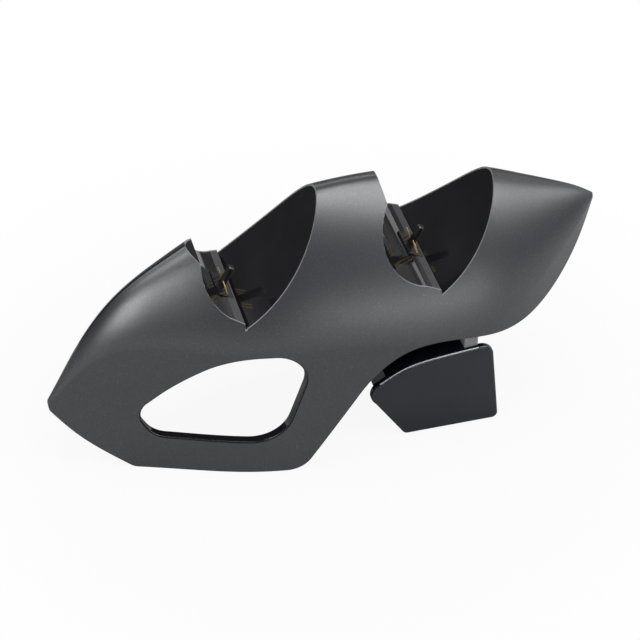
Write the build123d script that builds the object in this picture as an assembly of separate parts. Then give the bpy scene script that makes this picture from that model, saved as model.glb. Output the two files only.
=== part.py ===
from build123d import *
import os
from collections import namedtuple
from math import cos, radians, sin, sqrt, tan

# Charging dock for two game controllers. X runs from the nose to the tail, the front with the
# eye opening faces -Y, Z is up and the dock stands on z = 0. All sizes are in millimetres.

# Hood moulding: x, half width and crest height at stations from the nose to the tail
hood_stations = [
    (-108.0, 0.8, 31.0),
    (-103.0, 2.2, 40.0),
    (-96.0, 4.4, 52.8),
    (-84.0, 8.5, 70.4),
    (-62.0, 16.8, 88.6),
    (-34.0, 26.8, 104.0),
    (0.0, 31.9, 112.3),
    (22.0, 33.4, 113.2),
    (42.0, 33.0, 112.0),
    (62.0, 29.6, 108.4),
    (80.0, 21.2, 101.8),
    (96.0, 10.6, 95.4),
    (103.0, 5.5, 92.0),
    (108.0, 1.0, 88.8),
]
arch_rise = 1.7         # height of the rounded arch for each millimetre of half width
arch_side_pull = 0.28   # how far the wall runs on upright into the arch
arch_top_pull = 0.38    # how flat the crest of the arch is
hood_tuck = 0.94        # half width at the floor for each millimetre of the greatest half width
hood_wall = 2.6
hood_lip = 0.8          # thin edge that the hood keeps outside the liners
thinnest_half_width = 0.5

# Lower edge of the hood, seen from the front
nose_tip_z = 29.5
nose_mid_x, nose_mid_z = -97.3, 15.8
toe_x = -77.5
heel_x = -14.7
heel_radius = 11.0
leg_top_x, leg_top_z = 7.0, 36.5
tail_under = [(25.5, 54.2), (47.9, 55.0), (74.3, 52.7), (90.5, 60.3), (101.2, 73.6)]
tail_tip_z = 87.0
tail_rise = (0.5, 1.0)    # direction of the lower edge as it reaches the tip

# Rear wall: it ends above the floor, with a rounded step up behind the nose
rear_heel_x = -90.0
rear_arch_x, rear_arch_z = -82.0, 20.0
rear_arch_radius = 8.0

# Eye opening in the front leg, with its snapped-in trim
eye_corners = [(-78.3, 28.4), (-69.5, 15.3), (-22.1, 14.4), (-8.8, 58.2), (-41.2, 57.7)]
eye_radii = [11.3, 8.6, 21.8, 11.8, 44.9]
eye_trim_wall = 1.0
eye_trim_set_back = 0.3
eye_trim_depth = 3.9
eye_trim_flange = 2.2
eye_trim_flange_wall = 1.5

# Saddle pockets: the valley, the bowl of the seat and the slope of the backrest
Pocket = namedtuple("Pocket", "name valley bowl lip rim rest_mid rest_top")
pockets = [
    Pocket("left", (-34.5, 72.4), (-46.4, 82.5), (-47.3, 91.3), (-51.2, 94.6), (-15.4, 88.0), (-1.3, 113.5)),
    Pocket("right", (39.2, 76.6), (19.2, 94.0), (22.8, 106.8), (21.2, 114.5), (56.6, 89.0), (67.2, 110.0)),
]
ledge_width = 5.4
ledge_slope = 22.0
groove_depth = 2.0
liner_wall = 2.2
seat_gap = 0.15
rim_depth = 3.4

# Charging plug with its guide post and two pairs of contact pins
plug_lean = 61.0
plug_set_back = 3.8     # from the valley line to the post's axis, along X
plug_length, plug_width, plug_height = 6.2, 14.4, 0.3
plug_fit = 0.15
post_side = 2.5
post_length = 8.6
post_edge = 0.5
post_tip = 0.35
contact_offset = 4.3    # from the middle to a pair of contact pins
contact_pitch = 1.95
contact_side = 0.6
contact_length, contact_root = 4.6, 2.4
contact_foot = 0.9      # from the post's axis to the foot of a pin
contact_lean = 39.5     # away from the post

# Small boards under the plugs
contact_board_length, contact_board_width, contact_board_sheet = 9.0, 27.0, 1.2
contact_board_drop = 5.0
contact_boss_offset = 11.2
contact_boss_radius = 2.0
contact_screw_radius = 0.9
contact_screw_length = 5.0
contact_screw_head_radius, contact_screw_head_height = 1.7, 1.0

# Light guide along the nose crest and the flexible board behind it
light_start_x, light_end_x = -96.0, -51.5
light_width = 0.7
light_depth = 5.5
light_crest_end_x = 10.0
light_board_start_x = -79.0
light_board_width, light_board_wall = 3.4, 1.2
light_set_back = 0.15
light_fit = 0.05

# Bottom cover, fixed by screws into posts that hang from the hood
cover_wall = 1.8
cover_fit = 0.25
cover_points = [
    (-83.0, 63.2), (-10.0, 63.2), (14.0, 57.2), (54.0, 56.8), (76.0, 53.6), (90.0, 62.0), (99.5, 75.0),
]
cover_bend_radius = 20.0
cover_posts = [(-64.0, 7.5), (8.0, 14.0), (74.3, 10.0)]
cover_post_radius = 3.0
cover_screw_radius = 1.2
cover_screw_length = 9.0
cover_screw_head_radius, cover_screw_head_height = 2.4, 1.6

# Main board with its parts and the supply inlet in the rear wall
board_start_x, board_end_x = 14.0, 58.0
board_front_y, board_rear_y = -16.0, 19.0
board_stand = 4.6       # height of the bosses that carry it above the cover
board_sheet = 1.6
board_hole_inset = 3.5
board_boss_radius = 2.6
board_screw_radius = 1.2
board_screw_length = 5.0
board_screw_head_radius, board_screw_head_height = 2.2, 1.4
socket_x = 44.0
socket_width, socket_height, socket_depth = 8.0, 3.0, 6.0
socket_wall = 0.5
socket_tongue = 0.7
socket_tongue_back = 1.0
socket_inside_wall = 0.6
inlet_width, inlet_height, inlet_corner = 12.0, 7.0, 2.4
board_tab_width = 12.0
coil_radius, coil_height, coil_x, coil_y = 4.5, 4.2, 24.0, -6.0
chip_side, chip_height, chip_x, chip_y = 5.0, 1.2, 38.0, -6.0
can_radius, can_height, can_x, can_y = 2.5, 5.0, 30.0, 9.0

# Leads from the main board to the contact boards
lead_radius = 0.7
lead_pitch = 2.4
lead_sides = 8
lead_run_up = 2.0
lead_overlap = 3.0      # how far a lead lies on the main board

# Foot and the neck that carries it
foot_front_y = -21.0
foot_panel_wall = 2.2
foot_core_left_x, foot_core_right_x = 21.0, 57.8
foot_heel_x, foot_toe_x = 29.0, 67.8
foot_top_x, foot_top_z = 58.0, 39.2
foot_right_x, foot_right_z = 64.3, 33.7
foot_shoulder_x, foot_shoulder_z = 62.6, 37.7
foot_crown = [(40.0, 37.4), (28.3, 34.8)]
foot_brow_x, foot_brow_z = 18.5, 29.2
foot_left_x, foot_left_z = 14.9, 24.0
foot_chin_x, foot_chin_z = 16.9, 18.8
foot_corner_radius = 1.6
foot_edge = 0.9
neck_front_y = -13.0
neck_left_x, neck_right_x = 17.0, 52.0
pillar_front_y = -16.5
neck_edge = 1.0
neck_screw_offset = 9.0
foot_pad_length, foot_pad_width, foot_pad_wall, foot_pad_proud = 24.0, 7.0, 1.6, 0.6
foot_pad_offset = 12.0
foot_pad_corner = 2.0
foot_screw_x = [34.0, 46.0]
foot_screw_radius = 1.5
foot_screw_grip = 7.0
foot_screw_length = 24.0
neck_screw_length = 14.0
foot_screw_head_radius, foot_screw_head_height = 2.8, 1.8

screw_sides = 12
reach = 60.0            # longer than any half width, for cutting right through
below_floor = 6.0


def flat(curves):
    """Face in the X-Z plane from curves given as (x, z)."""
    return Plane.XZ * make_face(curves)


def across(face):
    """Prism of an X-Z face through the whole width."""
    return extrude(face, amount=reach, both=True)


def slopes(index):
    """Slope of the plan and of the crest at a station, from its neighbours."""
    x0, w0, z0 = hood_stations[max(index - 1, 0)]
    x1, w1, z1 = hood_stations[min(index + 1, len(hood_stations) - 1)]
    return (w1 - w0) / (x1 - x0), (z1 - z0) / (x1 - x0)


def arch_section(x, half_width, crest, floor_z):
    """Face across the length: walls that tuck in towards the floor and run into a rounded arch."""
    rise = arch_rise * half_width
    shoulder = crest - rise
    middle = (shoulder + floor_z) / 2
    side = shoulder + arch_side_pull * rise
    top = arch_top_pull * half_width
    foot = hood_tuck * half_width
    return Face(Wire([
        Bezier((x, foot, floor_z), (x, half_width, middle), (x, half_width, shoulder)),
        Bezier((x, half_width, shoulder), (x, half_width, side), (x, top, crest), (x, 0, crest)),
        Bezier((x, 0, crest), (x, -top, crest), (x, -half_width, side), (x, -half_width, shoulder)),
        Bezier((x, -half_width, shoulder), (x, -half_width, middle), (x, -foot, floor_z)),
        Line((x, -foot, floor_z), (x, foot, floor_z)),
    ]))


def hull(inset):
    """Body of the hood's form, set in from its outer face by a given distance."""
    sections = []
    for index, (x, half_width, crest) in enumerate(hood_stations):
        plan_slope, crest_slope = slopes(index)
        width = half_width - inset * sqrt(1 + plan_slope ** 2)
        height = crest - inset * sqrt(1 + crest_slope ** 2)
        if width > thinnest_half_width:
            sections.append(arch_section(x, width, height, -below_floor - inset))
    return loft(sections)


outer_hull = hull(0)
lip_hull = hull(hood_lip)
inner_hull = hull(hood_wall)
cover_hull = hull(hood_wall + cover_fit)
nose_x = hood_stations[0][0]
tail_x = hood_stations[-1][0]
hood_half_width = max(station[1] for station in hood_stations)
hood_top = max(station[2] for station in hood_stations)


def under_edge():
    """Region below the hood: nose curve, foot line of the leg, its slanted edge and the tail curve."""
    nose = Spline((nose_x, nose_tip_z), (nose_mid_x, nose_mid_z), (toe_x, 0))
    leg = FilletPolyline((toe_x, 0), (heel_x, 0), (leg_top_x, leg_top_z), radius=heel_radius)
    tail = Spline((leg_top_x, leg_top_z), *tail_under, (tail_x, tail_tip_z), tangents=[leg % 1, tail_rise])
    box = Polyline(
        (tail_x, tail_tip_z),
        (tail_x + reach, tail_tip_z),
        (tail_x + reach, -reach),
        (nose_x - reach, -reach),
        (nose_x - reach, nose_tip_z),
        (nose_x, nose_tip_z),
    )
    return flat([nose, leg, tail, box])


def rear_arch():
    """Region that the rear wall leaves open behind the leg."""
    heel = (rear_heel_x, -below_floor)
    end = (leg_top_x, rear_arch_z)
    arch = FilletPolyline(heel, (rear_arch_x, rear_arch_z), end, radius=rear_arch_radius)
    return flat([arch, Polyline(end, (leg_top_x, -below_floor), heel)])


def pocket_faces(pocket):
    """Void, seat and backrest of one pocket, as faces seen from the front."""
    valley_x, valley_z = pocket.valley
    edge = (valley_x - seat_gap, valley_z)
    crease = (valley_x - ledge_width, valley_z + ledge_width * tan(radians(ledge_slope)))
    bottom = (valley_x, valley_z - groove_depth)
    seat_curve = Line(edge, crease) + ThreePointArc(crease, pocket.bowl, pocket.lip)
    rest_curve = ThreePointArc(bottom, pocket.rest_mid, pocket.rest_top)
    rim = pocket.rim
    lid_z = hood_top + reach
    lid = Polyline(pocket.lip, rim, (rim[0], lid_z), (pocket.rest_top[0], lid_z), pocket.rest_top)
    void = flat([Line(bottom, edge), seat_curve, lid, rest_curve])
    seat = flat(offset(seat_curve, amount=liner_wall, side=Side.LEFT, closed=True))
    rest = flat(offset(rest_curve, amount=liner_wall, side=Side.RIGHT, closed=True))
    rim_foot = (pocket.lip[0], pocket.lip[1] - rim_depth)
    seat += flat(Polyline(pocket.lip, rim, (rim[0], rim[1] - rim_depth), rim_foot, close=True))
    return void, seat, rest


def plug_frame(pocket):
    """Plane on the ledge with Z along the guide post and Y across the dock."""
    valley_x, valley_z = pocket.valley
    origin = (valley_x - plug_set_back, 0, valley_z + plug_set_back * tan(radians(ledge_slope)))
    lean = radians(plug_lean)
    return Plane(origin=origin, x_dir=(sin(lean), 0, -cos(lean)), z_dir=(cos(lean), 0, sin(lean)))


def height_on(wire, x):
    """Height of a left-to-right wire at x, by halving."""
    low, high = 0.0, 1.0
    for _ in range(40):
        middle = (low + high) / 2
        if (wire @ middle).X < x:
            low = middle
        else:
            high = middle
    return (wire @ low).Y


def pan_screw(radius, length, head_radius, head_height):
    """Plain many-sided screw along +Z with its head below z = 0."""
    shank = extrude(RegularPolygon(radius, screw_sides), amount=length)
    return shank + extrude(RegularPolygon(head_radius, screw_sides), amount=-head_height)


# Hood: shell of the arched form, trimmed below, with a front leg and a cut-away rear wall
hood = outer_hull - inner_hull
hood -= across(under_edge())
hood -= extrude(rear_arch(), amount=reach, dir=(0, 1, 0))

# Bottom cover: a plate bent along the hood's underside
cover_line = FilletPolyline(*cover_points, radius=cover_bend_radius)
cover_start, cover_end = cover_points[0], cover_points[-1]
cover_slab = across(flat(offset(cover_line, amount=cover_wall, side=Side.LEFT, closed=True)))
below_cover = Polyline(cover_end, (cover_end[0], -reach), (cover_start[0], -reach), cover_start)
under_cover = across(flat([cover_line, below_cover]))
bottom_cover = cover_slab & cover_hull

# Posts that hang from the hood's roof to the cover, with the screws that hold the cover
post_hull = hull(hood_wall / 2)
cover_screws = []
screw = pan_screw(cover_screw_radius, cover_screw_length, cover_screw_head_radius, cover_screw_head_height)
for post_x, post_y in cover_posts:
    seat_z = height_on(cover_line, post_x) + cover_wall / 2
    for side in (-1, 1):
        place = Pos(post_x, side * post_y, 0)
        post = place * Pos(0, 0, hood_top / 2) * Cylinder(cover_post_radius, hood_top)
        placed_screw = place * Pos(0, 0, seat_z) * screw
        hood += (post & post_hull) - under_cover - cover_slab
        hood -= placed_screw
        well = place * Pos(0, 0, seat_z - reach / 2) * Cylinder(cover_screw_head_radius + cover_fit, reach)
        bottom_cover -= well
        bottom_cover -= placed_screw
        cover_screws.append(placed_screw)

# Pockets: seat and backrest liners let into the hood, each with its plug, contacts and small board
pieces = {}
contact_screws = []
for pocket in pockets:
    void_face, seat_face, rest_face = pocket_faces(pocket)
    void = across(void_face)
    hood -= void
    seat = (across(seat_face) & lip_hull) - void
    backrest = across(rest_face) & lip_hull
    hood -= seat
    hood -= backrest

    frame = plug_frame(pocket)
    depth = contact_board_drop + plug_height
    plug_at = frame * Pos(0, 0, plug_height - depth / 2)
    plug = plug_at * Box(plug_length, plug_width, depth)
    socket_hole = plug_at * Box(plug_length + 2 * plug_fit, plug_width + 2 * plug_fit, depth)
    post_box = Pos(0, 0, post_length / 2) * Box(post_side, post_side, post_length)
    post_box = chamfer(post_box.edges().filter_by(Axis.Z), post_edge)
    post_box = chamfer(post_box.faces().sort_by(Axis.Z)[-1].edges(), post_tip)
    plug += frame * Pos(0, 0, plug_height) * post_box

    pin_at = Rot(0, -contact_lean, 0) * Pos(0, 0, (contact_length - contact_root) / 2)
    pin = pin_at * Box(contact_side, contact_side, contact_length + contact_root)
    contacts = []
    for side in (-1, 1):
        for step in (-contact_pitch / 2, contact_pitch / 2):
            contacts.append(frame * Pos(contact_foot, side * contact_offset + step, plug_height) * pin)
    for contact in contacts:
        plug -= contact

    board_at = frame * Pos(0, 0, -contact_board_drop - contact_board_sheet / 2)
    board = board_at * Box(contact_board_length, contact_board_width, contact_board_sheet)
    seat -= socket_hole
    screw = pan_screw(
        contact_screw_radius, contact_screw_length, contact_screw_head_radius, contact_screw_head_height,
    )
    for side in (-1, 1):
        at = frame * Pos(0, side * contact_boss_offset, 0)
        boss = at * Pos(0, 0, -contact_board_drop / 2) * Cylinder(contact_boss_radius, contact_board_drop)
        placed = at * Pos(0, 0, -contact_board_drop - contact_board_sheet) * screw
        seat += boss - void
        seat -= placed
        board -= placed
        contact_screws.append(placed)

    pieces[pocket.name + "_seat"] = seat
    pieces[pocket.name + "_backrest"] = backrest
    pieces[pocket.name + "_plug"] = plug
    pieces[pocket.name + "_contacts"] = Compound(children=contacts)
    pieces[pocket.name + "_contact_board"] = board

# Eye opening and its trim, a ring with a flange behind the front wall
eye_line = FilletPolyline(*eye_corners, radius=eye_radii, close=True)
eye_face = make_face(eye_line)
eye_hole = extrude(Plane.XZ * eye_face, amount=reach)
eye_bore = extrude(Plane.XZ * offset(eye_face, amount=-eye_trim_wall), amount=reach)
eye_collar = extrude(Plane.XZ * offset(eye_face, amount=eye_trim_flange), amount=reach)
hood -= eye_hole
trim_front = hull(eye_trim_set_back)
trim_back = hull(eye_trim_set_back + eye_trim_depth)
eye_ring = (eye_hole & trim_front) - trim_back
eye_flange = (eye_collar & inner_hull) - hull(hood_wall + eye_trim_flange_wall)
eye_trim = eye_ring + eye_flange - eye_bore

# Light guide pressed into a slot along the nose crest, with the flexible board bonded below it
crest_line = Spline(*[(x, crest) for x, half_width, crest in hood_stations if x < light_crest_end_x])


def crest_band(depth, wall, width, start_x):
    """Strip that follows the crest line at a depth below it."""
    high = Pos(0, -depth) * crest_line
    low = Pos(0, -depth - wall) * crest_line
    side = flat([high, Line(high @ 1, low @ 1), low, Line(low @ 0, high @ 0)])
    band = extrude(side, amount=width / 2, both=True)
    length = light_end_x - start_x
    return band & (Pos(start_x + length / 2, 0, hood_top / 2) * Box(length, width, hood_top))


light_strip = crest_band(light_set_back, light_depth, light_width, light_start_x)
light_board_depth = light_set_back + light_depth
light_board = crest_band(light_board_depth, light_board_wall, light_board_width, light_board_start_x)
slot_length = light_end_x - light_start_x
slot_box = Box(slot_length + 2 * light_fit, light_width + 2 * light_fit, hood_top)
hood -= Pos(light_start_x + slot_length / 2, 0, hood_top / 2) * slot_box

# Main board on bosses of the cover, with the supply inlet in the rear wall
board_length = board_end_x - board_start_x
board_depth = board_rear_y - board_front_y
board_z = cover_points[2][1] + cover_wall + board_stand
board_mid_z = board_z + board_sheet / 2
board_top_z = board_z + board_sheet
board_at = Pos(board_start_x + board_length / 2, board_front_y + board_depth / 2, board_mid_z)
main_board = board_at * Box(board_length, board_depth, board_sheet)
socket_mid_z = board_top_z + socket_height / 2
inlet = Plane.XZ * Pos(socket_x, socket_mid_z) * RectangleRounded(inlet_width, inlet_height, inlet_corner)
inlet_hole = extrude(inlet, amount=reach, dir=(0, 1, 0))
inlet_wall = (inlet_hole & outer_hull) - inner_hull
hood -= inlet_hole
socket_mouth_y = inlet_wall.bounding_box().min.Y - socket_inside_wall
socket_at = Pos(socket_x, socket_mouth_y - socket_depth / 2, socket_mid_z)
socket_bore = Box(socket_width - 2 * socket_wall, socket_depth - socket_wall, socket_height - 2 * socket_wall)
tongue = Box(socket_width - 4 * socket_wall, socket_depth - socket_tongue_back, socket_tongue)
power_socket = socket_at * Box(socket_width, socket_depth, socket_height)
power_socket -= socket_at * Pos(0, socket_wall / 2, 0) * socket_bore
power_socket += socket_at * Pos(0, -socket_tongue_back / 2, 0) * tongue
tab_depth = socket_mouth_y - board_rear_y
board_tab = Box(board_tab_width, tab_depth, board_sheet)
main_board += Pos(socket_x, board_rear_y + tab_depth / 2, board_mid_z) * board_tab

board_screws = []
screw = pan_screw(board_screw_radius, board_screw_length, board_screw_head_radius, board_screw_head_height)
for hole_x in (board_start_x + board_hole_inset, board_end_x - board_hole_inset):
    for hole_y in (board_front_y + board_hole_inset, board_rear_y - board_hole_inset):
        boss = Pos(hole_x, hole_y, board_z - reach / 2) * Cylinder(board_boss_radius, reach)
        placed = Pos(hole_x, hole_y, board_top_z) * Rot(180, 0, 0) * screw
        bottom_cover += boss - under_cover
        bottom_cover -= placed
        main_board -= placed
        board_screws.append(placed)

charge_parts = [
    Pos(coil_x, coil_y, board_top_z + coil_height / 2) * Cylinder(coil_radius, coil_height),
    Pos(chip_x, chip_y, board_top_z + chip_height / 2) * Box(chip_side, chip_side, chip_height),
    Pos(can_x, can_y, board_top_z + can_height / 2) * Cylinder(can_radius, can_height),
]

# Foot with its pads, and the neck that is screwed to it from below and to the cover from above
foot_outline = [
    Polyline((foot_chin_x, foot_chin_z), (foot_heel_x, foot_pad_proud), (foot_toe_x, foot_pad_proud),
             (foot_right_x, foot_right_z)),
    ThreePointArc((foot_right_x, foot_right_z), (foot_shoulder_x, foot_shoulder_z), (foot_top_x, foot_top_z)),
    Spline((foot_top_x, foot_top_z), *foot_crown, (foot_brow_x, foot_brow_z)),
    ThreePointArc((foot_brow_x, foot_brow_z), (foot_left_x, foot_left_z), (foot_chin_x, foot_chin_z)),
]
foot_block = extrude(flat(foot_outline), amount=-foot_front_y, both=True)
sole_edges = foot_block.edges().filter_by(Axis.Y).sort_by(Axis.Z)[:2]
foot = fillet(sole_edges, foot_corner_radius)
foot = chamfer(foot.faces().filter_by(Axis.Y).edges(), foot_edge)
behind_panel = Pos(0, foot_front_y + foot_panel_wall + reach, 0)
foot -= behind_panel * Pos(foot_core_left_x - reach, 0, 0) * Box(2 * reach, 2 * reach, 2 * reach)
foot -= behind_panel * Pos(foot_core_right_x + reach, 0, 0) * Box(2 * reach, 2 * reach, 2 * reach)


def upright(left_x, right_x, front_y):
    """Block between the foot and the cover, with its upright edges bevelled."""
    block = Box(right_x - left_x, -2 * front_y, reach)
    block = chamfer(block.edges().filter_by(Axis.Z), neck_edge)
    return Pos((left_x + right_x) / 2, 0, foot_brow_z + reach / 2 - foot_edge) * block


neck = upright(neck_left_x, neck_right_x, neck_front_y)
neck += upright(neck_right_x - neck_edge, foot_core_right_x, pillar_front_y)
neck = (neck & under_cover) - foot_block

foot_pads = []
pad_x = (foot_heel_x + foot_core_right_x) / 2
for side in (-1, 1):
    pad_at = Pos(pad_x, side * foot_pad_offset, foot_pad_wall / 2)
    pad = pad_at * Box(foot_pad_length, foot_pad_width, foot_pad_wall)
    pad = fillet(pad.edges().filter_by(Axis.Z), foot_pad_corner)
    foot -= pad
    foot_pads.append(pad)

foot_screws = []
screw = pan_screw(foot_screw_radius, foot_screw_length, foot_screw_head_radius, foot_screw_head_height)
for screw_x in foot_screw_x:
    head_z = foot_brow_z - foot_screw_grip
    placed = Pos(screw_x, 0, head_z) * screw
    foot -= Pos(screw_x, 0, head_z - reach / 2) * Cylinder(foot_screw_head_radius + cover_fit, reach)
    foot -= placed
    neck -= placed
    foot_screws.append(placed)

neck_screws = []
screw = pan_screw(foot_screw_radius, neck_screw_length, foot_screw_head_radius, foot_screw_head_height)
neck_middle = (neck_left_x + neck_right_x) / 2
seat_z = height_on(cover_line, neck_middle) + cover_wall
for side in (-1, 1):
    placed = Pos(neck_middle, side * neck_screw_offset, seat_z) * Rot(180, 0, 0) * screw
    bottom_cover -= placed
    neck -= placed
    neck_screws.append(placed)

# Leads that lie on the cover and end at the lower edge of each contact board
for pocket in pockets:
    frame = plug_frame(pocket)
    board_middle_depth = contact_board_drop + contact_board_sheet / 2
    end = frame.from_local_coords(Vector(contact_board_length / 2, 0, -board_middle_depth))
    run_up = frame.from_local_coords(Vector(contact_board_length / 2 + lead_run_up, 0, -board_middle_depth))
    start_x = max(run_up.X, board_start_x) + lead_overlap
    start = Vector(start_x, 0, board_top_z + lead_radius)
    leads = []
    for side in (-1, 1):
        shift = Vector(0, side * lead_pitch / 2, 0)
        path = Polyline(start + shift, run_up + shift, end + shift)
        lead_section = Plane(path @ 0, z_dir=path % 0) * RegularPolygon(lead_radius, lead_sides)
        leads.append(sweep(lead_section, path=path, transition=Transition.RIGHT))
    pieces[pocket.name + "_leads"] = Compound(children=leads)

pieces["shell"] = hood
pieces["bottom_cover"] = bottom_cover
pieces["cover_screws"] = Compound(children=cover_screws)
pieces["contact_screws"] = Compound(children=contact_screws)
pieces["eye_trim"] = eye_trim
pieces["light_strip"] = light_strip
pieces["light_board"] = light_board
pieces["main_board"] = main_board
pieces["charge_parts"] = Compound(children=charge_parts)
pieces["power_socket"] = power_socket
pieces["board_screws"] = Compound(children=board_screws)
pieces["neck"] = neck
pieces["neck_screws"] = Compound(children=neck_screws)
pieces["foot"] = foot
pieces["foot_pads"] = Compound(children=foot_pads)
pieces["foot_screws"] = Compound(children=foot_screws)

os.makedirs("parts", exist_ok=True)
for name, piece in pieces.items():
    export_step(piece, "parts/" + name + ".step")
    print(name, round(piece.volume, 1), len(piece.solids()))
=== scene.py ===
from math import cos, pi, radians, sin, tan

import bmesh
import bpy
import numpy as np
from mathutils import Matrix, Vector
from mathutils.bvhtree import BVHTree


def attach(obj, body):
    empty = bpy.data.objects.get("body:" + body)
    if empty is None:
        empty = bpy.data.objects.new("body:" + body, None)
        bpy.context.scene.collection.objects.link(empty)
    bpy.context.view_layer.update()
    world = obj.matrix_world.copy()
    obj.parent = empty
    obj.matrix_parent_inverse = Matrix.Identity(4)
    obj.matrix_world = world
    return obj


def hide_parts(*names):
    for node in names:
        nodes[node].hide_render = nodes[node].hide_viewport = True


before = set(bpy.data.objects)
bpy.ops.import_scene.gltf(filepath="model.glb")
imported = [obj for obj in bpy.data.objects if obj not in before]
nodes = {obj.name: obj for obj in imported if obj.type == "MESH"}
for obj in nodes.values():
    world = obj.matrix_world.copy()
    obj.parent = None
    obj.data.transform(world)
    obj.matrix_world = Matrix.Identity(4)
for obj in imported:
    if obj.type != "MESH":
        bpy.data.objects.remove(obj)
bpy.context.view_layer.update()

# Hood
# One injection moulding in satin dark grey plastic, with the nose, the tail, two saddle cut-outs
# and a front leg. Every section follows one rule, an arch on walls that tuck in at the floor, and a
# node tree sweeps that rule along a guide of half widths and crest heights.
mm = 0.001
hood_stations = np.array([
    (-108.0, 0.8, 31.0), (-103.0, 2.2, 40.0), (-96.0, 4.4, 52.8), (-84.0, 8.5, 70.4),
    (-62.0, 16.8, 88.6), (-34.0, 26.8, 104.0), (0.0, 31.9, 112.3), (22.0, 33.4, 113.2),
    (42.0, 33.0, 112.0), (62.0, 29.6, 108.4), (80.0, 21.2, 101.8), (96.0, 10.6, 95.4),
    (103.0, 5.5, 92.0), (108.0, 1.0, 88.8),
])
hood_floor = -6.0
hood_wall = 2.6
thinnest_half_width = 0.5
arch_rise, arch_side_pull, arch_top_pull, hood_tuck = 1.7, 0.28, 0.38, 0.94
arch_share = 0.74       # part of a section's rows that lies on the arch
fine_rows, coarse_rows = 181, 97
fine_columns, coarse_columns = 261, 131
reach = 70.0
nose_tip, nose_mid, toe = (-108.0, 29.5), (-97.3, 15.8), (-77.5, 0.0)
toe_radius, toe_points = 5.0, 3     # points of the nose's curve that make way for the round toe
nose_corner, nose_radius = [(-105.2, 36.4), (-108.35, 30.25), (-105.2, 24.9)], 8.0
heel, heel_radius = (-14.7, 0.0), 11.0
leg_top = (7.0, 36.5)
tail_under = [(25.5, 54.2), (47.9, 55.0), (74.3, 52.7), (90.5, 60.3), (101.2, 73.6)]
tail_tip, tail_rise = (108.0, 87.0), (0.5, 1.0)
rear_heel, rear_arch, rear_arch_radius = (-90.0, hood_floor), (-82.0, 20.0), 8.0
light_slot_start, light_slot_end, light_slot_width = -96.05, -51.45, 0.8
inlet_x, inlet_z, inlet_width, inlet_height, inlet_corner = 44.0, 66.7, 12.0, 7.0, 2.4


def add(tree, kind, inputs=None, **settings):
    """Node added to a tree, with its settings made and its inputs set or linked."""
    node = tree.nodes.new(kind)
    for name, value in settings.items():
        setattr(node, name, value)
    for name, value in (inputs or {}).items():
        if isinstance(value, bpy.types.NodeSocket):
            tree.links.new(value, node.inputs[name])
        else:
            node.inputs[name].default_value = value
    return node


def calc(tree, operation, first, second=0.0):
    """Result of one sum in a tree."""
    return add(tree, "ShaderNodeMath", {0: first, 1: second}, operation=operation).outputs[0]


def node_material(name):
    """New material with its shader and a coordinate that stays on the piece."""
    material = bpy.data.materials.new(name)
    material.use_nodes = True
    tree = material.node_tree
    return material, tree, tree.nodes["Principled BSDF"], add(tree, "ShaderNodeTexCoord").outputs["Object"]


def noise(tree, place, size, detail=2.0):
    """Soft random pattern with features of about a given size in millimetres."""
    settings = {"Vector": place, "Scale": 1 / (size * mm), "Detail": detail}
    return add(tree, "ShaderNodeTexNoise", settings).outputs["Fac"]


def ramp(tree, factor, stops):
    """Colours or greys along a factor, from stops of (position, colour)."""
    node = add(tree, "ShaderNodeValToRGB", {"Fac": factor})
    for stop in stops[2:]:
        node.color_ramp.elements.new(stop[0])
    for element, (position, colour) in zip(node.color_ramp.elements, stops):
        element.position = position
        element.color = (*colour, 1) if isinstance(colour, tuple) else (colour, colour, colour, 1)
    return node.outputs["Color"]


def raise_bumps(tree, shader, height, depth, strength):
    """Fine relief of a given depth in millimetres."""
    bumps = add(tree, "ShaderNodeBump", {"Height": height, "Distance": depth * mm, "Strength": strength})
    tree.links.new(bumps.outputs["Normal"], shader.inputs["Normal"])


def satin_hood_plastic():
    """Satin dark grey plastic with a fine pale fleck and a spark-eroded grain."""
    material, tree, shader, place = node_material("satin_hood_plastic")
    fleck = noise(tree, place, size=0.42, detail=3.0)
    tint = ramp(tree, fleck, [(0.30, (0.009, 0.010, 0.013)), (0.58, (0.015, 0.016, 0.019)),
                              (0.74, (0.052, 0.053, 0.058))])
    tree.links.new(tint, shader.inputs["Base Color"])
    tree.links.new(ramp(tree, fleck, [(0.3, 0.38), (0.75, 0.28)]), shader.inputs["Roughness"])
    shader.inputs["Specular IOR Level"].default_value = 0.8
    raise_bumps(tree, shader, noise(tree, place, size=0.30), depth=0.02, strength=0.45)
    return material


def new_tree(name, inputs):
    """Empty node tree with inputs of given kinds and a geometry result."""
    tree = bpy.data.node_groups.new(name, "GeometryNodeTree")
    for label, kind in inputs.items():
        tree.interface.new_socket(label, in_out="INPUT", socket_type="NodeSocket" + kind)
    tree.interface.new_socket("Result", in_out="OUTPUT", socket_type="NodeSocketGeometry")
    return tree, tree.nodes.new("NodeGroupInput").outputs


def end_tree(tree, geometry, material):
    """Close a tree: real geometry with its material."""
    real = add(tree, "GeometryNodeRealizeInstances", {"Geometry": geometry})
    painted = add(tree, "GeometryNodeSetMaterial", {"Geometry": real.outputs[0], "Material": material})
    add(tree, "NodeGroupOutput", {0: painted.outputs[0]})


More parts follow.
